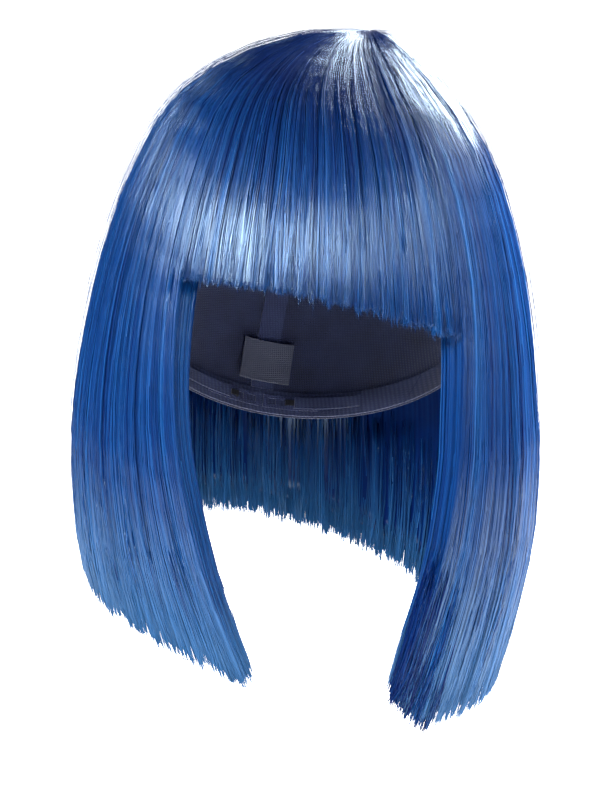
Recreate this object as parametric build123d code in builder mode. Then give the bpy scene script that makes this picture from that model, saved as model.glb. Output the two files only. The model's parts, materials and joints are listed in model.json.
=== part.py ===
"""A costume wig: a long straight bob with a blunt fringe, machine-sewn wefts on a stretch-net cap.

Row frame: +Z is up, the face looks along -Y and +X is the wearer's left. The origin is the centre of the
head that the cap fits. The wearer's head leans towards +X by head_roll, so the cap, the fringe and the cut
of the ends lean with it, while the hair itself hangs straight down.
Pieces of the cap are drawn on the upright head and leaned as they are written.
"""

import os
from math import atan2, cos, radians, sin

from build123d import *

# --- Driving dimensions, in millimetres and degrees -------------------------------------------------------

head_radius = 85.0  # the cap relaxed is round in plan and stretches to the wearer's longer head
head_height = 105.0  # top of the skull above its centre
head_roll = 12.0  # lean of the head towards +X
big = 600.0  # larger than the wig, for cutting blocks

# Layers of the cap, as growth of the skull's radii: (inner face, outer face)
strap_layer = (0.4, 1.2)
loop_layer = (1.6, 2.2)
band_layer = (2.6, 3.4)
net_layer = (3.8, 4.4)
weft_layer = (4.8, 6.8)
rim_front = (-76.5, 46.0)  # y, z of the cap's edge on the forehead
rim_nape = (66.0, -66.0)  # y, z of the cap's edge on the nape
band_width = 13.0
gap = 0.4  # free space between neighbouring sewn pieces

disc_radius = 17.0
weft_rows = 9
weft_width = 3.0

bell_profile = [  # outline of the hair from the front, from the crown down: radius, height
    (0.0, 131.0),
    (26.0, 127.5),
    (46.0, 118.0),
    (60.0, 107.5),
    (73.0, 93.0),
    (84.0, 75.0),
    (93.0, 55.0),
    (101.0, 31.0),
    (107.0, 5.0),
    (112.5, -30.0),
    (116.0, -65.0),
    (115.5, -95.0),
    (113.0, -122.0),
    (107.5, -148.0),
    (100.0, -175.0),
    (88.0, -216.0),
]
hollow_radii = (98.5, 118.0)  # inside of the hair over the cap: half width and height, clear of the leaned cap
hollow_profile = [  # inside of the hanging hair, from its foot up: radius, height
    (72.0, -216.0),
    (90.0, -150.0),
    (97.0, -100.0),
    (99.0, -60.0),
]

fringe_half = 68.0
fringe_corner = 1.0  # height of the fringe's cut at its corners, and in the middle
fringe_middle = 6.0
back_seam_y = 40.0
cut_front = (-70.0, -184.0)  # y, z of the ends of the hair in front, on the upright head
cut_rise = 18.3  # the cut rises towards the back by this angle

face_left_edge = [  # inner edge of the wearer's left lock, from the top down, as it hangs: x, z
    (68.0, -9.4),
    (64.1, -27.9),
    (54.0, -62.0),
    (48.0, -100.0),
    (42.0, -143.0),
    (34.0, -190.0),
    (30.0, -250.0),
]
face_right_edge = [
    (-30.0, -250.0),
    (-42.0, -174.0),
    (-60.0, -139.0),
    (-73.0, -90.0),
    (-74.0, -43.0),
    (-69.9, 0.5),
    (-66.0, 19.1),
]

parts_folder = "parts"
os.makedirs(parts_folder, exist_ok=True)


# --- Helpers ----------------------------------------------------------------------------------------------


def save(part, name):
    """Leans a piece of the cap with the head, names it and writes its STEP file."""
    placed = part.rotate(Axis.Y, head_roll)
    placed.label = name
    export_step(placed, f"{parts_folder}/{name}.step")
    print(name, "solids", len(placed.solids()), "mm3", round(placed.volume))


def layer(faces, reach=(0.0, 200.0)):
    """A shell that follows the skull between two growths, and may be kept to a ring or disc at the crown."""
    inner, outer = faces
    with BuildPart() as shell:
        with BuildSketch(Plane.XZ):
            Ellipse(head_radius + outer, head_height + outer)
            Ellipse(head_radius + inner, head_height + inner, mode=Mode.SUBTRACT)
            with Locations(((reach[0] + reach[1]) / 2, 0 if reach[1] > 100 else 100)):
                Rectangle(reach[1] - reach[0], 300 if reach[1] > 100 else 150, mode=Mode.INTERSECT)
        revolve(axis=Axis.Z)
    return shell.part


def block(x_range, y_range, z_range):
    """A cutting box on the upright head."""
    with BuildPart() as box:
        with Locations(
            ((x_range[0] + x_range[1]) / 2, (y_range[0] + y_range[1]) / 2, (z_range[0] + z_range[1]) / 2)
        ):
            Box(x_range[1] - x_range[0], y_range[1] - y_range[0], z_range[1] - z_range[0])
    return box.part


def slab(front, nape, low, high):
    """A slab parallel to X whose lower face is low, and upper face high, above the line from front to nape."""
    angle = atan2(front[1] - nape[1], nape[0] - front[0])
    foot = Plane(origin=(0, front[0], front[1]), x_dir=(1, 0, 0), z_dir=(0, sin(angle), cos(angle)))
    with BuildPart() as solid:
        with BuildSketch(foot.offset(low)):
            Rectangle(big, big)
        extrude(amount=high - low)
    return solid.part


def keep(part, *blocks):
    """The part that lies in all of the blocks."""
    with BuildPart() as kept:
        add(part)
        for solid in blocks:
            add(solid, mode=Mode.INTERSECT)
    return kept.part


def cut(part, *blocks):
    """The part without what lies in any of the blocks."""
    with BuildPart() as rest:
        add(part)
        for solid in blocks:
            add(solid, mode=Mode.SUBTRACT)
    return rest.part


def profile_point(elevation, growth):
    """A point (radius, height) of the grown skull's outline, at an elevation above its centre."""
    return ((head_radius + growth) * cos(radians(elevation)), (head_height + growth) * sin(radians(elevation)))


above_rim = slab(rim_front, rim_nape, 0.0, big)
below_rim = slab(rim_front, rim_nape, -big, 0.0)

# --- The cap ----------------------------------------------------------------------------------------------

# Stretch net over the whole skull, from the forehead to the nape.
cap_net = keep(layer(net_layer), above_rim)
save(cap_net, "cap_net")

# Elastic bands inside the net's edge: over the forehead, past each ear and round the nape.
rim_strip = keep(layer(band_layer), slab(rim_front, rim_nape, gap, band_width))
save(keep(rim_strip, block((-big, big), (-big, -52.0), (-big, big))), "front_band")
save(keep(rim_strip, block((-big, big), (42.0, big), (-big, big))), "nape_band")
save(keep(rim_strip, block((0, big), (-52.0 + gap, 42.0 - gap), (-big, big))), "side_band_left")
save(keep(rim_strip, block((-big, 0), (-52.0 + gap, 42.0 - gap), (-big, big))), "side_band_right")

# Support tapes: one from forehead to nape, and one over each side, stopping short of the bands.
tape_shell = keep(layer(band_layer), slab(rim_front, rim_nape, band_width + gap, big))
save(keep(tape_shell, block((-6.0, 6.0), (-big, big), (-big, big))), "centre_tape")
save(keep(tape_shell, block((6.0 + gap, big), (9.0, 21.0), (-big, big))), "cross_tape_left")
save(keep(tape_shell, block((-big, -6.0 - gap), (9.0, 21.0), (-big, big))), "cross_tape_right")

# --- The wefts --------------------------------------------------------------------------------------------

# Rows of weft heads are sewn round the cap. They close in on the whorl, so each row is a little more level.
weft_shell = layer(weft_layer)
for row in range(weft_rows):
    climb = (row + 0.9) / (weft_rows + 0.9)
    front_radius, front_height = profile_point(26.0 + climb * 47.0, weft_layer[0])
    back_radius, back_height = profile_point(-39.0 + climb * 112.0, weft_layer[0])
    row_slab = slab((-front_radius, front_height), (back_radius, back_height), 0.0, weft_width)
    save(keep(weft_shell, row_slab), f"weft_{row + 1:02d}")

# Two short rows carry the fringe.
fringe_weft_side = block((-60.0, 60.0), (-big, -20.0), (-big, big))
save(keep(weft_shell, slab(rim_front, rim_nape, 1.0, 4.0), fringe_weft_side), "fringe_weft_lower")
save(keep(weft_shell, slab(rim_front, rim_nape, 5.5, 8.5), fringe_weft_side), "fringe_weft_upper")

# The closure at the whorl is a small disc with one weft coiled round it.
save(layer((weft_layer[0], weft_layer[0] + 1.0), reach=(0.0, disc_radius)), "crown_disc")
save(layer(weft_layer, reach=(disc_radius + gap, disc_radius + gap + weft_width)), "crown_weft")

# --- Fittings inside the cap ------------------------------------------------------------------------------

# Adjuster straps inside the nape band. Each is sewn down near the ear and ends in a hook by the middle.
strap_shell = layer(strap_layer)
strap_run = slab(rim_front, rim_nape, 3.5, 9.5)
strap_out = 48.0
strap_in = 17.0
loop_shell = layer(loop_layer)
for side, label in ((1, "left"), (-1, "right")):
    strap_x = sorted((side * strap_in, side * strap_out))
    save(keep(strap_shell, strap_run, block(strap_x, (30.0, big), (-big, big))), f"adjuster_strap_{label}")

    loop_x = sorted((side * 1.0, side * 29.0))
    loop_tape = keep(loop_shell, slab(rim_front, rim_nape, 3.0, 10.0), block(loop_x, (30.0, big), (-big, big)))
    windows = []
    for step in range(4):
        window_x = sorted((side * (3.0 + 6.6 * step), side * (7.6 + 6.6 * step)))
        windows.append(keep(slab(rim_front, rim_nape, 4.8, 8.2), block(window_x, (30.0, big), (-big, big))))
    save(cut(loop_tape, *windows), f"loop_tape_{label}")

    # The hook is a flat tongue whose tip turns out through one window of the loop tape.
    tongue_x = sorted((side * 12.4, side * (strap_in - gap)))
    tongue = keep(strap_shell, slab(rim_front, rim_nape, 5.2, 7.8), block(tongue_x, (30.0, big), (-big, big)))
    tip_x = sorted((side * 12.4, side * 13.4))
    tip = keep(
        layer((strap_layer[0], loop_layer[1])),
        slab(rim_front, rim_nape, 5.4, 7.6),
        block(tip_x, (30.0, big), (-big, big)),
    )
    with BuildPart() as hook:
        add(tongue)
        add(tip)
    save(hook.part, f"adjuster_hook_{label}")

    # The ear tab hangs from the edge in front of the ear, with a bendable stay inside it.
    with BuildPart() as tab_block:
        with BuildSketch(Plane.YZ):
            with BuildLine():
                Polyline((-50.0, 30.0), (-46.0, 1.0), (-41.0, -4.0), (-34.0, -5.0), (-28.0, -2.0), (-22.0, 12.0))
                Line((-22.0, 12.0), (-50.0, 30.0))
            make_face()
        extrude(amount=side * big)
    under_edge = slab(rim_front, rim_nape, -big, -gap)
    save(keep(layer(band_layer), tab_block.part, under_edge), f"ear_tab_{label}")
    with BuildPart() as stay_block:
        with BuildSketch(Plane.YZ):
            with Locations((-37.0, 5.0)):
                SlotOverall(15.0, 4.0, rotation=80.0)
        extrude(amount=side * big)
    save(keep(loop_shell, stay_block.part), f"ear_stay_{label}")

# A blank care label inside the nape.
label_space = block((-13.0, 13.0), (30.0, big), (-big, big))
save(keep(strap_shell, slab(rim_front, rim_nape, 16.0, 36.0), label_space), "care_label")

# --- The hair ---------------------------------------------------------------------------------------------

# The whole head of hair is a hollow bell that hangs straight down. It is brought into the upright head's
# axes, where the seams and the cut are drawn, by leaning it the other way.
hollow_arch = []
for angle in range(0, 91, 10):
    hollow_arch.append((hollow_radii[0] * cos(radians(angle)), hollow_radii[1] * sin(radians(angle))))
hollow_arch[-1] = (0.0, hollow_radii[1])
with BuildPart() as bell:
    with BuildSketch(Plane.XZ):
        with BuildLine():
            Polyline(*bell_profile, *hollow_profile, *hollow_arch, close=True)
        make_face()
    revolve(axis=Axis.Z)

with BuildPart() as face_way:
    with BuildSketch(Plane.XZ):
        with BuildLine():
            Polyline(*face_left_edge, *face_right_edge, close=True)
        make_face()
    extrude(amount=big / 2)

hair_mass = bell.part.rotate(Axis.Y, -head_roll)
face_on_head = face_way.part.rotate(Axis.Y, -head_roll)

half_gap = gap / 2
everywhere = (-big, big)

# Fringe: in front, under the cap's edge, down to its blunt cut, which arches a little over the eyes.
with BuildPart() as fringe_way:
    with BuildSketch(Plane.XZ):
        with BuildLine():
            Polyline(
                (fringe_half, fringe_corner), (fringe_half, 90.0), (-fringe_half, 90.0), (-fringe_half, fringe_corner)
            )
            ThreePointArc((-fringe_half, fringe_corner), (0, fringe_middle), (fringe_half, fringe_corner))
        make_face()
    extrude(amount=big / 2)
hair_fringe = keep(hair_mass, fringe_way.part, slab(rim_front, rim_nape, -big, -half_gap))
save(hair_fringe, "hair_fringe")

# Crown: all the hair above eye level, less the place of the fringe.
fringe_room = keep(
    slab(rim_front, rim_nape, -big, half_gap),
    block((-fringe_half - gap, fringe_half + gap), (-big, -20.0), everywhere),
)
hair_crown = cut(keep(hair_mass, block(everywhere, everywhere, (half_gap, big))), fringe_room)
save(hair_crown, "hair_crown")

# Hanging hair: a lock on each side of the face and one down the back, cut level on the upright head.
cut_angle = radians(cut_rise)
cut_plane = Plane(
    origin=(0, cut_front[0], cut_front[1]), x_dir=(1, 0, 0), z_dir=(0, -sin(cut_angle), cos(cut_angle))
)
with BuildPart() as above_cut:
    with BuildSketch(cut_plane):
        Rectangle(big * 2, big * 2)
    extrude(amount=big)
hanging = keep(hair_mass, block(everywhere, everywhere, (-big, -half_gap)), above_cut.part)
curtains = cut(hanging, face_on_head)
save(keep(curtains, block((0, big), (-big, back_seam_y - half_gap), everywhere)), "hair_side_left")
save(keep(curtains, block((-big, 0), (-big, back_seam_y - half_gap), everywhere)), "hair_side_right")
save(keep(hanging, block(everywhere, (back_seam_y + half_gap, big), everywhere)), "hair_back")
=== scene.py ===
# %% [markdown]
# # A costume wig, strand by strand
#
# A machine-made wig is thousands of glossy synthetic fibres sewn in rows, called wefts, to a stretch-net
# cap. The cap, its bands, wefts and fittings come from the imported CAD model. The hair there is a few plain
# solids, so this lesson replaces each of them with real strands and keeps the rest, giving every piece its
# finish.

# %% Load the fixed frame
import json
import math

import bpy
import numpy as np
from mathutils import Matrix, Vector


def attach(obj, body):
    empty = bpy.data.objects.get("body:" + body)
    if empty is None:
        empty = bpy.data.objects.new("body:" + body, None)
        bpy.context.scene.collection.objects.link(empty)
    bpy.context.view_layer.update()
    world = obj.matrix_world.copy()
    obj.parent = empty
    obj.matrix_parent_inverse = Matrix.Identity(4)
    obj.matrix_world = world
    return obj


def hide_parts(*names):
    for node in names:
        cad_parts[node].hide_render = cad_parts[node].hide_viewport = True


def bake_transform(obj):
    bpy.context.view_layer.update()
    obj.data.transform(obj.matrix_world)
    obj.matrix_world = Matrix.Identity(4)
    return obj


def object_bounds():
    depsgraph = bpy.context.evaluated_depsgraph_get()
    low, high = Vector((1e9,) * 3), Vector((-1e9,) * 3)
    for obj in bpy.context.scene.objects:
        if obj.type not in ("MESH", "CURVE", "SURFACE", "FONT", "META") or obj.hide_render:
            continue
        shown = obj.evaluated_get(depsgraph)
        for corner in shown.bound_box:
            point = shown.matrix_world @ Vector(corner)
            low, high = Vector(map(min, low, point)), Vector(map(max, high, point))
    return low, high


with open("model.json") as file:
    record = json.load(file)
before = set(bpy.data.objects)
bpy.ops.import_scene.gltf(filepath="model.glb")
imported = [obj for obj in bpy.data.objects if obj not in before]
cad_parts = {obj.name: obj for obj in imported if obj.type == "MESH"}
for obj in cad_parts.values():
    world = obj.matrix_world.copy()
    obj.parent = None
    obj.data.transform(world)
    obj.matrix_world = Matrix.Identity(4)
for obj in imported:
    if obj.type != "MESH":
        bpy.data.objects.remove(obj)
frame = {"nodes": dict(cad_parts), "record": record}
cad_low, cad_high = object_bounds()
MM = 0.001
print("CAD box in mm:", [round((h - l) / MM) for l, h in zip(cad_low, cad_high)])

# %% [markdown]
# ## Camera
#
# The wig is seen from a little to the wearer's right and a little above, from 1.75 m away with a long lens,
# so nothing bulges. The aim point lies in the face opening. A turn about Z and a rise above the floor are
# enough to place the camera, and it looks back along the same direction.

# %% The camera
CAMERA_TURN = math.radians(-10.0)
CAMERA_RISE = math.radians(7.0)
CAMERA_AIM = Vector((-0.0194, -0.0811, -0.0419))
CAMERA_DISTANCE = 1.75
camera_data = bpy.data.cameras.new("camera")
camera_data.lens = 166.6
camera = bpy.data.objects.new("camera", camera_data)
bpy.context.scene.collection.objects.link(camera)
look_back = Vector((
    math.sin(CAMERA_TURN) * math.cos(CAMERA_RISE),
    -math.cos(CAMERA_TURN) * math.cos(CAMERA_RISE),
    math.sin(CAMERA_RISE),
))
camera.location = CAMERA_AIM + look_back * CAMERA_DISTANCE
camera.rotation_mode = "QUATERNION"
camera.rotation_quaternion = (-look_back).to_track_quat("-Z", "Y")
bpy.context.scene.camera = camera
print("camera at", [round(v, 3) for v in camera.location])

# %% [markdown]
# ## The lean of the head
#
# The wearer's head leans 12 degrees, and the cap, fringe and cut lean with it, while the hair hangs
# straight. The cut, the fringe and the seam tilt by this angle where their heights are worked out.

# %% The angle of the lean
LEAN = math.radians(12.0)


# %% [markdown]
# ## The outline of the hair
#
# Seen from the front the hair is a bell: a round crown, long straight flanks that widen to the jaw, and
# ends that turn in. Everything is measured along that outline, so a strand is simply a stretch of it at
# some angle round the head. A few radii are joined by a smooth curve, resampled to equal steps of length.

# %% The bell outline
OUTLINE = np.array([  # radius, height, in millimetres, from the crown down
    (0, 131), (14, 130), (28, 126.5), (46, 117), (60, 106.5), (70, 96), (78, 85), (86, 70), (93, 54),
    (99, 36), (104, 17), (108, -2), (112, -26), (114.5, -50), (116, -72), (115.5, -95), (113.5, -120),
    (109, -143), (104, -163), (98, -185), (90, -208), (84, -224),
], float)


def smooth_outline(points, steps=600):
    """The outline as a Catmull-Rom curve through its points, resampled to equal lengths."""
    padded = np.vstack([2 * points[0] - points[1], points, 2 * points[-1] - points[-2]])
    padded[0] = (-points[1][0], points[1][1])
    at = np.linspace(0, len(points) - 1 - 1e-6, steps)
    k = at.astype(int)
    t = (at - k)[:, None]
    a, b, c, d = (padded[k + i] for i in range(4))
    curve = 0.5 * (2 * b + (c - a) * t + (2 * a - 5 * b + 4 * c - d) * t**2 + (3 * b - a - 3 * c + d) * t**3)
    run = np.r_[0, np.cumsum(np.linalg.norm(np.diff(curve, axis=0), axis=1))]
    even = np.linspace(0, run[-1], steps)
    return even, np.stack([np.interp(even, run, curve[:, i]) for i in (0, 1)], -1)


RUN, BELL = smooth_outline(OUTLINE)
slope = np.gradient(BELL, RUN, axis=0)
slope /= np.linalg.norm(slope, axis=1)[:, None]
BELL_OUT = np.stack([-slope[:, 1], slope[:, 0]], -1)
print("outline is", round(RUN[-1]), "mm long")


def run_at_height(height):
    """Length along the outline at which it passes a height."""
    return np.interp(-np.asarray(height, float), -BELL[:, 1], RUN)


WHORL = np.array([12.5, -9.0])  # shift of the hair near the top, x and y
WHORL_REACH = 42.0
WHORL_TOP = np.array([*WHORL * 2, 131.0])  # at the very top both parts of the shift count


def on_bell(turn, run, depth):
    """Points of the hair: the outline at a run of its length, pushed in by a depth along its normal, turned
    about Z by turn (0 in front, positive to the wearer's left) and shifted towards the whorl near the top.
    It also settles sideways, from 2 mm to the wearer's left at the crown to 2.5 mm to the right low
    down."""
    turn, run, depth = np.broadcast_arrays(turn, run, depth)
    radius = np.interp(run, RUN, BELL[:, 0]) - depth * np.interp(run, RUN, BELL_OUT[:, 0])
    height = np.interp(run, RUN, BELL[:, 1]) - depth * np.interp(run, RUN, BELL_OUT[:, 1])
    shift = np.clip((height - 96) / 35, 0, 1) ** 2 + np.clip(1 - run / WHORL_REACH, 0, 1) ** 2
    settle = 2.0 - 4.5 * np.clip((70 - height) / 120, 0, 1)
    radius = np.maximum(radius, 0)
    return np.stack([
        radius * np.sin(turn) + WHORL[0] * shift + settle, -radius * np.cos(turn) + WHORL[1] * shift, height
    ], -1)


# %% [markdown]
# ## Where the hair ends
#
# Three edges shape the wig. The fringe is cut blunt just above the eyes. The ends are cut level on the
# upright head and a little shorter behind. In front, the two locks draw in over the cheeks as they fall, so
# the angle of a strand changes on its way down.

# %% The cut
CORNER_RIGHT = math.radians(-47.0)
CORNER_LEFT = math.radians(33.0)
BACK_TURN = math.radians(111.0)
CUT_FRONT_Y = -70.0
CUT_FRONT_HEIGHT = -183.0
CUT_RISE = math.tan(math.radians(18.3))
RIGHT_TRIM = 7.0
LEFT_ROUNDING = 17.0
LEFT_ROUNDED = math.radians(13.0)


def cut_height(x, y):
    """Height of the ends on the hanging hair: a plane that is level across the upright head and rises
    behind, and a little shorter at the tip of the wearer's right lock."""
    level = CUT_FRONT_HEIGHT + (y - CUT_FRONT_Y) * CUT_RISE
    shorter = RIGHT_TRIM * np.clip(-x / 60, 0, 1) * np.clip((-10 - y) / 50, 0, 1)
    return (level - x * math.sin(LEAN)) / math.cos(LEAN) + shorter


def fringe_height(x, y):
    """Height of the fringe's cut, arched a little towards the middle of the upright forehead."""
    arch = 5.8 - 0.035 * x - 5.5 * (x / 66.0) ** 2
    return (arch - x * math.sin(LEAN)) / math.cos(LEAN)


DRAW_RIGHT = math.radians(21.0)
DRAW_LEFT = math.radians(-15.0)


def drawn_in(turn, height):
    """Angle of a strand at a height. It moves towards the face, by about DRAW_RIGHT or DRAW_LEFT at the
    front edges' ends and less behind them, and grows with its fall below the fringe and with the fall's
    square."""
    fall = np.clip((12 - height) / 195.0, 0, 1.1)
    side = np.where(turn < 0, DRAW_RIGHT, DRAW_LEFT)
    edge = np.where(turn < 0, CORNER_RIGHT - turn, turn - CORNER_LEFT)
    near = np.exp(-np.clip(edge, 0, None) / math.radians(26.0))
    return turn + side * near * (0.7 * fall**2 + 0.3 * fall)


def tip_run(turn, fringe=False):
    """Length along the outline at which a strand meets its cut, by three rounds of looking where it would
    end. The front corner of the left lock is rounded off by up to LEFT_ROUNDING, by the square of nearness
    to it."""
    turn = np.asarray(turn, float)
    height = np.zeros(turn.shape) if fringe else np.full(turn.shape, -165.0)
    for _ in range(3):
        angle = turn if fringe else drawn_in(turn, height)
        where = on_bell(angle, run_at_height(height), 0.0)
        height = (fringe_height if fringe else cut_height)(where[..., 0], where[..., 1])
    corner = np.clip(1 - (turn - CORNER_LEFT) / LEFT_ROUNDED, 0, 1) * (turn > 0)
    return run_at_height(height) - (0 if fringe else LEFT_ROUNDING * np.minimum(corner, 1) ** 2)


print("longest strand", round(float(tip_run(np.radians([40.0]))[0])), "mm")

# %% [markdown]
# ## Making a mesh from arrays
#
# Strands and shells are whole arrays of points. One helper puts points and faces into a mesh at once, with
# three named numbers on each point that the finish reads later: tone, which differs from strand to strand;
# along, which runs from 0 at the root to 1 at a pale cut end; and fall, the distance from the whorl in
# units of 100 mm.

# %% A helper that builds a mesh


def build_mesh(name, points, quads, triangles, tone, along, material):
    """A mesh in metres from points in millimetres. Its four-sided faces are smooth, and its three-sided
    ones, which close the strands' ends, are flat, so that the shading runs straight on to the cut."""
    mesh = bpy.data.meshes.new(name)
    mesh.vertices.add(len(points))
    mesh.vertices.foreach_set("co", (np.asarray(points) * MM).astype(np.float32).ravel())
    corners = np.concatenate([quads.ravel(), triangles.ravel()]).astype(np.int32)
    starts = np.concatenate([
        np.arange(len(quads)) * 4, len(quads) * 4 + np.arange(len(triangles)) * 3
    ]).astype(np.int32)
    mesh.loops.add(len(corners))
    mesh.loops.foreach_set("vertex_index", corners)
    mesh.polygons.add(len(starts))
    mesh.polygons.foreach_set("loop_start", starts)
    mesh.update(calc_edges=True)
    mesh.validate()
    mesh.shade_smooth()
    round_sides = np.arange(len(starts)) < len(quads)
    mesh.polygons.foreach_set("use_smooth", round_sides)
    fall = np.linalg.norm(np.asarray(points) - WHORL_TOP, axis=-1) / 100
    for key, values in (("tone", tone), ("along", along), ("fall", fall)):
        layer = mesh.attributes.new(key, "FLOAT", "POINT")
        layer.data.foreach_set("value", np.asarray(values, np.float32).ravel())
    mesh.materials.append(material)
    piece = bpy.data.objects.new(name, mesh)
    bpy.context.scene.collection.objects.link(piece)
    triangles_in_all = len(quads) * 2 + len(triangles)
    print(name, "has", triangles_in_all, "triangles")
    return piece


# %% [markdown]
# ## A strand
#
# One rendered strand stands for a few real fibres. It is a thin three-sided tube, smooth-shaded so that it
# catches light like a round fibre, and it narrows at the root and the tip. All the strands of a piece are
# made in one go: their paths are one array of strands by points by three.

# %% Tubes along paths


def tube_faces(count, points):
    """Faces of many three-sided tubes: a quad between each pair of rings and side, a triangle at each end."""
    first = (np.arange(count) * points * 3)[:, None, None]
    ring = (np.arange(points - 1) * 3)[None, :, None]
    side = np.arange(3)[None, None, :]
    a = first + ring + side
    b = first + ring + (side + 1) % 3
    quads = np.stack([a, b, b + 3, a + 3], -1).reshape(-1, 4)
    start = first[:, 0, :] + np.array([[2, 1, 0]])
    end = first[:, 0, :] + (points - 1) * 3 + np.array([[0, 1, 2]])
    return quads, np.concatenate([start, end])


def ring_shares(points):
    """Shares of a strand's length at its rings: even from 0, with the last two close together at 1, so that
    the cap which closes the end can't bend the shading of a long stretch."""
    return np.append(np.linspace(0, 1, points - 1)[:-1], [0.996, 1.0])


def build_strands(name, paths, radius, tone, material, begin=0.0, pale=1.0):
    """Three-sided tubes. Each ring lies across its path with a corner every 120 degrees: to the side by the
    radius times the cosine, and outward by three quarters of the radius times the sine."""
    count, points = paths.shape[:2]
    forward = np.gradient(paths, axis=1)
    forward[:, -1] = forward[:, -2] = paths[:, -1] - paths[:, -3]
    forward /= np.linalg.norm(forward, axis=-1, keepdims=True) + 1e-9
    out = paths * np.array([1, 1, 0.6])  # away from the head's middle, a little flattened
    side = np.cross(forward, out)
    side /= np.linalg.norm(side, axis=-1, keepdims=True) + 1e-9
    out = np.cross(side, forward)
    rings = []
    for corner in (90, 330, 210):
        c, s = math.cos(math.radians(corner)), math.sin(math.radians(corner))
        rings.append(paths + (side * c + out * s * 0.75) * radius[..., None])
    points_all = np.stack(rings, 2).reshape(-1, 3)
    quads, triangles = tube_faces(count, points)
    along = begin + (1 - begin) * ring_shares(points)
    along = np.broadcast_to(along[None, :, None], (count, points, 3)) * pale
    tones = np.broadcast_to(tone[:, None, None], (count, points, 3))
    return build_mesh(name, points_all, quads, triangles, tones, along, material)


# %% [markdown]
# ## The finish of the fibre
#
# Wig fibre is smooth plastic, deep blue in the mass, with a hard bright sheen across it, and paler where the
# cut ends scatter light. Round the whorl the colour is painted darker, to navy: painted shade for the crown,
# where the lamps run along the fibres and light them little. The tone of each strand moves the colour a
# little, so the sheen breaks into fine lines. The part that only makes colours and masks is a group, used by
# the strands and by the solid core under them.

# %% The fibre group
DEEP_BLUE = (0.0006, 0.0050, 0.050, 1.0)
MID_BLUE = (0.0010, 0.0230, 0.112, 1.0)
BRIGHT_BLUE = (0.0035, 0.0640, 0.230, 1.0)
TIP_BLUE = (0.0320, 0.1450, 0.320, 1.0)
SHEEN_TINT = (0.50, 0.76, 1.0, 1.0)
# painted shade: the navy that the colour is darkened to round the whorl, and the share of the strand's own
# colour kept there
PAINTED_WHORL_SHADE = (0.0003, 0.0024, 0.0290, 1.0)
WHORL_COLOUR_KEPT = 0.15  # share of a strand's own colour that is left at the whorl
TIP_SHARE = 0.55  # share of TIP_BLUE at the very end


def add_node(tree, kind, **values):
    """A node of a kind, with its inputs set by name."""
    node = tree.nodes.new(kind)
    for key, value in values.items():
        node.inputs[key.replace("_", " ")].default_value = value
    return node


def math_node(tree, operation, second=0.5):
    """A math node with its operation and the constant of its second input."""
    node = tree.nodes.new("ShaderNodeMath")
    node.operation = operation
    node.inputs[1].default_value = second
    return node


def colour_mix(tree, **colours):
    """A mix of two colours, A and B, of which those given are constants."""
    node = tree.nodes.new("ShaderNodeMix")
    node.data_type = "RGBA"
    for key, colour in colours.items():
        node.inputs[key].default_value = colour
    return node


fibre = bpy.data.node_groups.new("fibre_colour", "ShaderNodeTree")
fibre.interface.new_socket("Tone", in_out="INPUT", socket_type="NodeSocketFloat")
fibre.interface.new_socket("Along", in_out="INPUT", socket_type="NodeSocketFloat")
fibre.interface.new_socket("Fall", in_out="INPUT", socket_type="NodeSocketFloat")
fibre.interface.new_socket("Color", in_out="OUTPUT", socket_type="NodeSocketColor")
fibre.interface.new_socket("Roughness", in_out="OUTPUT", socket_type="NodeSocketFloat")
group_in = fibre.nodes.new("NodeGroupInput")
group_out = fibre.nodes.new("NodeGroupOutput")
ramp = fibre.nodes.new("ShaderNodeValToRGB")
ramp.color_ramp.elements[0].color = DEEP_BLUE
ramp.color_ramp.elements[1].color = BRIGHT_BLUE
ramp.color_ramp.elements.new(0.55).color = MID_BLUE
tip_mask = add_node(fibre, "ShaderNodeMapRange", From_Min=0.78, From_Max=1.05)
tip_share = math_node(fibre, "MULTIPLY", TIP_SHARE)
with_tips = colour_mix(fibre, B=TIP_BLUE)
gloss = add_node(fibre, "ShaderNodeMapRange", To_Min=0.17, To_Max=0.29)
# painted shade: the colour turns mostly to the navy within 62 mm of the whorl and is clear of it from 108 mm
whorl_shade_mask = add_node(fibre, "ShaderNodeMapRange", From_Min=0.62, From_Max=1.08, To_Min=WHORL_COLOUR_KEPT, To_Max=1.0)
with_whorl_shade = colour_mix(fibre, A=PAINTED_WHORL_SHADE)
link = fibre.links.new
link(group_in.outputs["Tone"], ramp.inputs["Fac"])
link(group_in.outputs["Along"], tip_mask.inputs["Value"])
link(tip_mask.outputs["Result"], tip_share.inputs[0])
link(tip_share.outputs["Value"], with_tips.inputs["Factor"])
link(ramp.outputs["Color"], with_tips.inputs["A"])
link(group_in.outputs["Tone"], gloss.inputs["Value"])
link(group_in.outputs["Fall"], whorl_shade_mask.inputs["Value"])
link(with_tips.outputs["Result"], with_whorl_shade.inputs["B"])
link(whorl_shade_mask.outputs["Result"], with_whorl_shade.inputs["Factor"])
link(with_whorl_shade.outputs["Result"], group_out.inputs["Color"])
link(gloss.outputs["Result"], group_out.inputs["Roughness"])


def new_material(name):
    """An empty material with its Principled shader."""
    material = bpy.data.materials.new(name)
    material.use_nodes = True
    tree = material.node_tree
    return material, tree, tree.nodes["Principled BSDF"]


def read_number(tree, key):
    """A node that reads a named number from the mesh."""
    node = tree.nodes.new("ShaderNodeAttribute")
    node.attribute_name = key
    return node.outputs["Fac"]


# %% [markdown]
# ## Three fibre materials
#
# The group's colour and gloss go into a shader whose sheen is tinted blue, as it is on dyed fibre. Strands
# are the glossiest, the core under them less so, and the tuft that turns under gets a nearly dull copy:
# painted shade, because it faces away from the lamps.

# %% The strands' material


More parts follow.
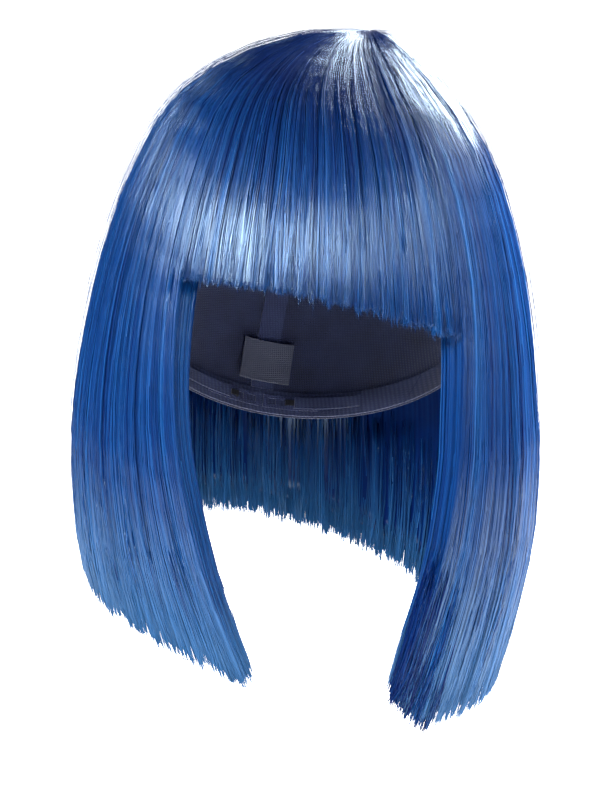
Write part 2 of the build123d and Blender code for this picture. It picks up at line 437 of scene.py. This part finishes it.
def fibre_material(name, specular, coat=0.12, grooved=False):
    """Blue fibre of a given gloss. Grooved, it gets fine relief along the hair from the tone of each line."""
    material, tree, shader = new_material(name)
    group = tree.nodes.new("ShaderNodeGroup")
    group.node_tree = fibre
    tree.links.new(read_number(tree, "along"), group.inputs["Along"])
    tree.links.new(read_number(tree, "tone"), group.inputs["Tone"])
    tree.links.new(read_number(tree, "fall"), group.inputs["Fall"])
    tree.links.new(group.outputs["Color"], shader.inputs["Base Color"])
    tree.links.new(group.outputs["Roughness"], shader.inputs["Roughness"])
    shader.inputs["Specular IOR Level"].default_value = specular
    shader.inputs["Specular Tint"].default_value = SHEEN_TINT
    shader.inputs["Coat Weight"].default_value = coat
    shader.inputs["Coat Roughness"].default_value = 0.2
    if grooved:
        bump = add_node(tree, "ShaderNodeBump", Strength=0.6, Distance=0.0006)
        tree.links.new(read_number(tree, "tone"), bump.inputs["Height"])
        tree.links.new(bump.outputs["Normal"], shader.inputs["Normal"])
    return material


strand_blue = fibre_material("strand_blue", 0.7)
core_blue = fibre_material("core_blue", 0.35, grooved=True)
# painted shade: the nearly dull copy for the tuft that faces away from the lamps
tuft_shaded_blue = fibre_material("tuft_shaded_blue", 0.15, coat=0.0)

# %% [markdown]
# ## Locks of strands
#
# Strands of a wig do not lie evenly: they gather in flat locks a few millimetres wide, and within a lock
# they bend together. A smooth random wave over the angle round the head gives each strand its lock's bend,
# and a small one of its own on top.

# %% Strand paths
rng = np.random.default_rng(20)
WAVES = 14
WAVE_TERMS = [(float(f), float(p), float(a)) for f, p, a in zip(
    rng.uniform(14, 90, WAVES), rng.uniform(0, 6.28, WAVES), rng.uniform(0.3, 1.0, WAVES))]


def lock_wave(turn, phase=0.0):
    """Smooth noise round the head: a sum of sines of the angle, about 1 high."""
    total = sum(a * np.sin(f * turn + p + phase * f * 0.37) for f, p, a in WAVE_TERMS)
    return total / 3.2


LOCK_SWAY = 0.010  # radians that a lock wanders to the side on its way down
OWN_SWAY = 0.006  # radians that a single strand wanders
LOCK_LIFT = 0.9  # millimetres that a lock rises and falls
COVER_DEPTH = 0.9  # millimetres from the outline to the outermost strands
OWN_TONE = 0.16  # spread of tone from strand to strand
LOCK_TONE = 0.22  # and from lock to lock


def strand_paths(turn, depth, start_run, end_run, points, draw=True, sway=1.0):
    """Paths of strands: steps from start to end along the outline. The angle follows the drawing in of the
    locks and a slow wave that grows by the 1.5th power of the share run; the depth varies by the lock and
    shrinks to the root."""
    share = ring_shares(points)[None, :]
    run = start_run[:, None] + (end_run - start_run)[:, None] * share
    height = np.interp(run, RUN, BELL[:, 1])
    angle = np.broadcast_to(turn[:, None], run.shape)
    if draw:
        angle = drawn_in(angle, height)
    loose = share**1.5
    own = rng.normal(0, 1, turn.shape)[:, None]
    wander = LOCK_SWAY * lock_wave(turn[:, None], 1.0 + 0.6 * share) + OWN_SWAY * own * share
    angle = angle + sway * loose * wander
    lift = LOCK_LIFT * lock_wave(turn[:, None] * 1.7, 2.0 + 0.35 * share) * np.clip(run / 60, 0, 1)
    dive = depth[:, None] * np.clip(run / 30, 0.15, 1)
    return on_bell(angle, run, dive + COVER_DEPTH + lift)


def taper(points, width, root=0.55, tip=0.35):
    """Half-width of each strand along its length: narrow at the root, full from an eighth of the way, and
    thin over the last twelfth."""
    share = ring_shares(points)[None, :]
    shape = np.minimum(root + (1 - root) * share * 8, 1) * np.minimum(tip + (1 - tip) * (1 - share) * 12, 1)
    return width[:, None] * shape


LONGEST_END = 9.0  # millimetres that a ragged end may hang past the cut
CUT_WAVE = 1.6  # millimetres that the cut rises and falls from lock to lock
FRINGE_PALE = 0.72  # the ends of the fringe stay this share of the way to the pale tips


def add_strands(name, low, high, count, points, fringe=False, depth_range=(0, 1.5), root=0.0, last=None,
                width=0.34, ragged=2.2, sway=1.0, shade=0.0, pale=1.0, material=None):
    """One piece of strands between two angles, ending at its cut. They start near a root length, or at most
    last millimetres before their end; ragged spreads the ends, shade darkens the tone as painted shade, and
    pale below 1 holds back the pale tips."""
    turn = rng.uniform(low, high, count)
    depth = rng.uniform(*depth_range, count)
    end = tip_run(turn, fringe) + np.minimum(rng.normal(0, ragged, count), LONGEST_END)
    end += CUT_WAVE * lock_wave(turn * 2.3, 5.0)
    start = np.full(count, root) + rng.uniform(0.5, 7.0, count)
    if last is not None:
        start = end - last * rng.uniform(0.6, 1.0, count)
    paths = strand_paths(turn, depth, start, end, points, draw=not fringe, sway=sway)
    radius = taper(points, rng.uniform(0.75, 1.2, count) * width)
    run = start[:, None] + (end - start)[:, None] * ring_shares(points)
    crowded = np.clip(run / 70 + 0.30, 0, 1)  # thinner near the whorl, where strands crowd together
    spread = OWN_TONE * rng.normal(0, 1, count) + LOCK_TONE * lock_wave(turn * 1.3, 3.0)
    tone = np.clip(0.5 - shade + spread, 0, 1)
    begin = 0.0 if last is None else 0.7
    piece = build_strands(name, paths, radius * crowded, tone, material or strand_blue, begin,
                          FRINGE_PALE if fringe else pale)
    return piece


# %% [markdown]
# ## The solid core
#
# Real hair is so dense that light never passes through it. A closed shell a few millimetres under the
# strands, grooved along their run, stops the eye there and costs little. It ends short of the cut, where
# only strands go on.

# %% A closed shell under the strands
CORE_ALONG = 0.6  # the core's own ends stay out of the pale tips


def build_core(name, low, high, start_run, end_run, outer_depth, inner_depth, across, down, draw=True,
               wrap=False):
    """A closed grooved shell: an outer and an inner grid over angle and length, joined round their rim.
    Both lie at a depth under the outline and close on the middle of the wall near an edge, by the square
    root of the distance to it. The outer one is grooved by lock waves and finer sines of the angle. With
    wrap the shell goes all round, and only its lower edge closes in."""
    turn = np.linspace(low, high, across)[:, None]
    share = np.linspace(0, 1, down)[None, :]
    begin = np.broadcast_to(start_run(turn), turn.shape)
    finish = np.broadcast_to(end_run(turn), turn.shape)
    run = begin + (finish - begin) * share
    height = np.interp(run, RUN, BELL[:, 1])
    angle = drawn_in(np.broadcast_to(turn, run.shape), height) if draw else np.broadcast_to(turn, run.shape)
    fine = np.sin(turn * 410 + 3 * np.sin(turn * 57)) * 0.5 + 0.5 * np.sin(turn * 233 + 2 * np.sin(turn * 31))
    groove = (0.8 * lock_wave(turn * 2.1, 4.0) + 0.45 * fine) * np.clip(run / 60, 0, 1)
    rim = (1.0 if wrap else np.minimum(share * 12, 1)) * np.minimum((1 - share) * 14, 1)
    steps_in = np.minimum(np.arange(across), np.arange(across)[::-1])[:, None]
    edge = 1.0 if wrap else np.minimum(steps_in / 6.0, 1)
    swell = np.sqrt(np.clip(rim * edge, 0.02, 1))
    middle = (outer_depth + inner_depth) / 2
    outer = on_bell(angle, run, middle - (middle - outer_depth) * swell + groove * swell)
    inner = on_bell(angle, run, middle + (inner_depth - middle) * swell)
    points = np.concatenate([outer.reshape(-1, 3), inner.reshape(-1, 3)])
    index = np.arange(across * down).reshape(across, down)
    back = index + across * down
    quads = [np.stack([index[:-1, :-1], index[:-1, 1:], index[1:, 1:], index[1:, :-1]], -1).reshape(-1, 4)]
    quads.append(np.stack([back[:-1, :-1], back[1:, :-1], back[1:, 1:], back[:-1, 1:]], -1).reshape(-1, 4))
    for row, flip in ((0, False), (-1, True)):
        a, b, c, d = index[:-1, row], index[1:, row], back[1:, row], back[:-1, row]
        quads.append(np.stack([a, d, c, b] if flip else [a, b, c, d], -1))
        a, b, c, d = index[row, :-1], index[row, 1:], back[row, 1:], back[row, :-1]
        quads.append(np.stack([a, b, c, d] if flip else [a, d, c, b], -1))
    streak = np.clip(0.34 + 0.16 * fine + 0.22 * lock_wave(turn * 3.1, 1.0), 0, 1) * np.ones_like(run)
    tone = np.concatenate([streak.ravel(), streak.ravel() * 0.5])
    along = np.concatenate([(run / RUN[-1]).ravel()] * 2) * CORE_ALONG
    piece = build_mesh(name, points, np.concatenate(quads), np.zeros((0, 3), int), tone, along, core_blue)
    return piece


# %% [markdown]
# ## The crown
#
# Over the cap the hair is one smooth dome. Its core reaches down to the seam where the hanging hair starts,
# and in front only to the cap's edge, where the fringe goes on.

# %% The crown's core


def seam_run(turn):
    """Length along the outline at the seam, which is level on the upright head at eye height."""
    height = -np.interp(run_at_height(0), RUN, BELL[:, 0]) * np.sin(turn) * math.tan(LEAN)
    return run_at_height(height)


CROWN_FRONT = 62.0  # height at which the crown's core ends over the forehead
CROWN_DEPTHS = (3.2, 8.0)  # outer and inner faces of a core, in millimetres under the outline


def crown_end(turn):
    """The seam all round, but the cap's edge over the forehead, with a quick change at the fringe's
    corners."""
    wrapped = (turn + math.pi) % (2 * math.pi) - math.pi
    inside = np.minimum(wrapped - CORNER_RIGHT, CORNER_LEFT - wrapped) / math.radians(4.0)
    front = np.clip(inside + 0.5, 0, 1)
    return seam_run(turn) * (1 - front) + run_at_height(CROWN_FRONT) * front


crown_core = build_core("crown_core", -math.pi, math.pi, lambda turn: 0.3 + 0 * turn, crown_end,
                        *CROWN_DEPTHS, 600, 44, draw=False, wrap=True)
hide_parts("hair_crown")
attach(crown_core, "cap")

# %% [markdown]
# ## The hanging locks
#
# The two locks at the sides of the face and the back swing on hinges at the seam, so their cores and the
# short strands that fill their ends ride on the moving bodies. The long strands start at the whorl, on the
# cap, and run down across the seam to the cut; they are attached to neither.

# %% Cores of the hanging hair
CORE_SHORT = 9.0  # millimetres from a core's end to the cut of the locks and the back
CORE_GAP = 0.01  # radians that a lock's or the back's core stays inside its own angles
CORE_DEPTHS = (3.4, 14.0)
FRINGE_TOP = 54.0  # height at which the fringe's core starts
FRINGE_CORE_SHORT = 2.5
FRINGE_DEPTHS = (4.8, 8.0)
SIDES = (  # body, angle of the front edge, angle where the back takes over
    ("side_right", CORNER_RIGHT, -BACK_TURN),
    ("side_left", CORNER_LEFT, BACK_TURN),
)
for body, near, far in SIDES:
    core = build_core(f"{body}_core", min(near, far) + CORE_GAP, max(near, far) - CORE_GAP,
                      lambda turn: seam_run(turn) + 1.0, lambda turn: tip_run(turn) - CORE_SHORT,
                      *CORE_DEPTHS, 300, 56)
    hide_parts(f"hair_{body}")
    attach(core, body)
back_core = build_core("back_core", BACK_TURN + CORE_GAP, 2 * math.pi - BACK_TURN - CORE_GAP,
                       lambda turn: seam_run(turn) + 1.0,
                       lambda turn: tip_run((turn + math.pi) % (2 * math.pi) - math.pi) - CORE_SHORT,
                       *CORE_DEPTHS, 420, 50, draw=False)
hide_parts("hair_back")
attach(back_core, "back")
fringe_core = build_core("fringe_core", CORNER_RIGHT + 2 * CORE_GAP, CORNER_LEFT - 2 * CORE_GAP,
                         lambda turn: run_at_height(FRINGE_TOP) + 0 * turn,
                         lambda turn: tip_run(turn, fringe=True) - FRINGE_CORE_SHORT, *FRINGE_DEPTHS, 300, 24,
                         draw=False)
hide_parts("hair_fringe")
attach(fringe_core, "fringe")

# %% [markdown]
# ## The outer strands
#
# Each region has an outer cover of long strands from the whorl to the cut, deeper and shorter ones that
# fill the ends, and a few thin strays that stand off. The front edges of the locks get strands of their
# own, and the left lock ends in a tuft that turns under, darkened and dulled as painted shade. Pieces stay
# under two hundred thousand triangles, so the back is made in two halves.

# %% Strands of every region
COVER_WIDTH = 0.29  # half-widths of strands, in millimetres
END_WIDTH = 0.30
STRAY_WIDTH = 0.11
STRAY_SWAY = 3.0
END_DEPTH = 15.0  # millimetres of hair at the cut, from the outermost strand to the innermost
EDGE_TURN = 0.06  # radians of a lock's front edge that get strands of their own
FRINGE_OVERLAP = 0.03  # radians that the fringe laps over each lock
REGIONS = (
    *SIDES,
    ("back_right", -BACK_TURN, -math.pi),
    ("back_left", BACK_TURN, math.pi),
)
for region, near, far in REGIONS:
    body = region if region.startswith("side") else "back"
    low, high = min(near, far), max(near, far)
    cover = add_strands(f"{region}_strands", low, high, 1690, 20, width=COVER_WIDTH)
    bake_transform(cover)
    ends = add_strands(f"{region}_ends", low, high, 2250, 6, depth_range=(0.0, END_DEPTH), last=80.0,
                       ragged=3.2, width=END_WIDTH)
    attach(ends, body)
    strays = add_strands(f"{region}_strays", low, high, 60, 20, depth_range=(-4.5, -0.5), width=STRAY_WIDTH,
                         ragged=14.0, sway=STRAY_SWAY)
    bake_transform(strays)
    if region.startswith("side"):
        inward = math.copysign(EDGE_TURN, far - near)
        edge = add_strands(f"{region}_edge", min(near, near + inward), max(near, near + inward), 620, 16,
                           depth_range=(0.5, END_DEPTH), root=run_at_height(24.0), width=END_WIDTH)
        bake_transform(edge)

# painted shade: the tuft's tone is lowered by 0.30, pale=0.4 holds it back from the pale tips, and it takes
# the nearly dull copy of the fibre
tuft = add_strands("side_left_tuft", CORNER_LEFT - 0.05, CORNER_LEFT + 0.17, 620, 10, depth_range=(-0.8, 6.0),
                   last=66.0, ragged=6.0, width=END_WIDTH, sway=1.8, shade=0.30, pale=0.4,
                   material=tuft_shaded_blue)
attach(tuft, "side_left")

fringe_cover = add_strands("fringe_strands", CORNER_RIGHT - FRINGE_OVERLAP, CORNER_LEFT + FRINGE_OVERLAP,
                           1500, 18, fringe=True, ragged=0.9, depth_range=(0, 2.0), width=0.32, sway=0.8)
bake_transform(fringe_cover)
fringe_under = add_strands("fringe_ends", CORNER_RIGHT, CORNER_LEFT, 2400, 6, fringe=True, ragged=1.4,
                           depth_range=(0.5, 8.5), last=46.0, width=0.28, sway=0.8)
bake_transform(fringe_under)
fringe_strays = add_strands("fringe_strays", CORNER_RIGHT, CORNER_LEFT, 60, 16, fringe=True, ragged=3.0,
                            depth_range=(-3.5, -0.5), width=STRAY_WIDTH, sway=STRAY_SWAY)
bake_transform(fringe_strays)

# %% [markdown]
# ## The cap, seen from inside
#
# The pieces of the cap are CAD nodes. They keep their shapes and get woven, ribbed and stitched finishes.

# %% Cloth finishes


def cloth(name, base, light, scale, ribs, roughness=0.85, sheen=0.3):
    """Woven or ribbed cloth: two crossing waves of thread as colour and bump, and a soft cloud over them."""
    material, tree, shader = new_material(name)
    place = tree.nodes.new("ShaderNodeTexCoord")
    warp = add_node(tree, "ShaderNodeTexWave", Scale=scale, Distortion=0.4)
    weft = add_node(tree, "ShaderNodeTexWave", Scale=scale * ribs, Distortion=0.4)
    weft.bands_direction = "Z"
    cloud = add_node(tree, "ShaderNodeTexNoise", Scale=60.0, Detail=3.0)
    both = math_node(tree, "MULTIPLY")
    tone = math_node(tree, "MULTIPLY_ADD", 0.7)
    colour = colour_mix(tree, A=(*base, 1), B=(*light, 1))
    bump = add_node(tree, "ShaderNodeBump", Strength=0.7, Distance=0.0003)
    for node in (warp, weft, cloud):
        tree.links.new(place.outputs["Object"], node.inputs["Vector"])
    tree.links.new(warp.outputs["Fac"], both.inputs[0])
    tree.links.new(weft.outputs["Fac"], both.inputs[1])
    tree.links.new(both.outputs["Value"], tone.inputs[0])
    tree.links.new(cloud.outputs["Fac"], tone.inputs[2])
    tree.links.new(tone.outputs["Value"], colour.inputs["Factor"])
    tree.links.new(colour.outputs["Result"], shader.inputs["Base Color"])
    tree.links.new(both.outputs["Value"], bump.inputs["Height"])
    tree.links.new(bump.outputs["Normal"], shader.inputs["Normal"])
    shader.inputs["Roughness"].default_value = roughness
    shader.inputs["Sheen Weight"].default_value = sheen
    return material


def plastic(name, colour, roughness):
    """Moulded plastic with a faint mottle in colour and gloss."""
    material, tree, shader = new_material(name)
    place = tree.nodes.new("ShaderNodeTexCoord")
    noise = add_node(tree, "ShaderNodeTexNoise", Scale=900.0, Detail=4.0)
    lighter = [min(1, c * 1.5 + 0.01) for c in colour]
    mottle = colour_mix(tree, A=(*colour, 1), B=(*lighter, 1))
    gloss = add_node(tree, "ShaderNodeMapRange", To_Min=roughness * 0.8, To_Max=roughness * 1.2)
    tree.links.new(place.outputs["Object"], noise.inputs["Vector"])
    tree.links.new(noise.outputs["Fac"], mottle.inputs["Factor"])
    tree.links.new(noise.outputs["Fac"], gloss.inputs["Value"])
    tree.links.new(mottle.outputs["Result"], shader.inputs["Base Color"])
    tree.links.new(gloss.outputs["Result"], shader.inputs["Roughness"])
    return material


finishes = {
    "net": cloth("net_cloth", (0.004, 0.006, 0.02), (0.02, 0.03, 0.09), 260.0, 1.0),
    "elastic": cloth("ribbed_elastic", (0.006, 0.009, 0.03), (0.03, 0.045, 0.13), 160.0, 2.4, 0.7),
    "tape": cloth("woven_tape", (0.008, 0.012, 0.04), (0.04, 0.055, 0.15), 220.0, 1.4),
    "weft_stitching": cloth("stitched_fibre", (0.004, 0.018, 0.10), (0.02, 0.08, 0.30), 320.0, 3.0, 0.5),
    "hook_plastic": plastic("hook_plastic", (0.012, 0.012, 0.016), 0.35),
    "stay_plastic": plastic("stay_plastic", (0.42, 0.43, 0.46), 0.4),
    "label": cloth("label_ribbon", (0.030, 0.034, 0.06), (0.09, 0.10, 0.15), 300.0, 1.0, 0.6),
}
for part in frame["record"]["subparts"]:
    if part["material_slot"] in finishes:
        node = frame["nodes"][part["node"]]
        node.data.materials.clear()
        node.data.materials.append(finishes[part["material_slot"]])
print("finished", len(finishes), "materials for the cap's own pieces")

# %% [markdown]
# ## Studio
#
# A pale floor curves up behind. Sheen lies across a fibre where the directions to the light and to the eye
# tilt equally from it, so each light places one band: the front and side lights the one across the fringe
# and down the wearer's right, and the crown light, high on the wearer's left, the glint beside the whorl. A
# weak light fills the left lock, and the surround is a dim, bluish white.

# %% Floor, lights and surround
PAPER_GLOW = 0.88  # brightness that only the camera sees, so that the paper is white without lighting the wig
WALL_TOP = 5.0
WIG_MIDDLE = Vector((0, 0, -0.03))


def sweep_floor(level, width, front, back, bend, name):
    """A sheet of floor that rises behind in a quarter circle: straight, bent, straight, carried across X."""
    angle = np.linspace(0, math.pi / 2, 24)
    curve = np.stack([back + bend * np.sin(angle), bend * (1 - np.cos(angle))], -1)
    run = np.concatenate([[[-front, 0]], curve, [[back + bend, WALL_TOP]]])
    across = np.array([-width, width])
    points = np.stack([
        np.repeat(across, len(run)), np.tile(run[:, 0], 2), np.tile(run[:, 1], 2) + level
    ], -1)
    index = np.arange(len(points)).reshape(2, -1)
    quads = np.stack([index[0, :-1], index[1, :-1], index[1, 1:], index[0, 1:]], -1)
    mesh = bpy.data.meshes.new(name)
    mesh.from_pydata(points.tolist(), [], quads.tolist())
    mesh.shade_smooth()
    return bpy.data.objects.new(name, mesh)


floor = sweep_floor(cad_low.z - 0.05, 5.0, 4.0, 2.6, 1.2, "floor")
bpy.context.scene.collection.objects.link(floor)
paper, paper_tree, paper_shader = new_material("pale_paper")
paper_shader.inputs["Base Color"].default_value = (0.86, 0.86, 0.87, 1)
paper_shader.inputs["Roughness"].default_value = 0.9
paper_shader.inputs["Emission Color"].default_value = (1, 1, 1, 1)
seen = paper_tree.nodes.new("ShaderNodeLightPath")
paper_glow = math_node(paper_tree, "MULTIPLY", PAPER_GLOW)
paper_tree.links.new(seen.outputs["Is Camera Ray"], paper_glow.inputs[0])
paper_tree.links.new(paper_glow.outputs["Value"], paper_shader.inputs["Emission Strength"])
floor.data.materials.append(paper)


def soft_light(name, place, size, power):
    """A square area light that faces the middle of the wig. The camera doesn't see the lamp itself."""
    data = bpy.data.lights.new(name, "AREA")
    data.size = size
    data.energy = power
    lamp = bpy.data.objects.new(name, data)
    lamp.location = place
    lamp.visible_camera = False
    lamp.rotation_mode = "QUATERNION"
    lamp.rotation_quaternion = (WIG_MIDDLE - Vector(place)).to_track_quat("-Z", "Y")
    bpy.context.scene.collection.objects.link(lamp)


soft_light("front_light", (-0.21, -1.47, 0.72), 0.35, 15.0)
soft_light("crown_light", (1.13, 0.43, 1.17), 0.80, 200.0)
soft_light("side_light", (-0.98, -1.09, 0.75), 0.35, 50.0)
soft_light("fill_light", (1.3, -1.1, 0.4), 0.7, 7.0)
world = bpy.data.worlds.new("surround")
world.use_nodes = True
sky = world.node_tree.nodes["Background"]
sky.inputs["Color"].default_value = (0.72, 0.84, 1.0, 1)
sky.inputs["Strength"].default_value = 0.16
bpy.context.scene.world = world
bpy.context.scene.view_settings.view_transform = "Standard"
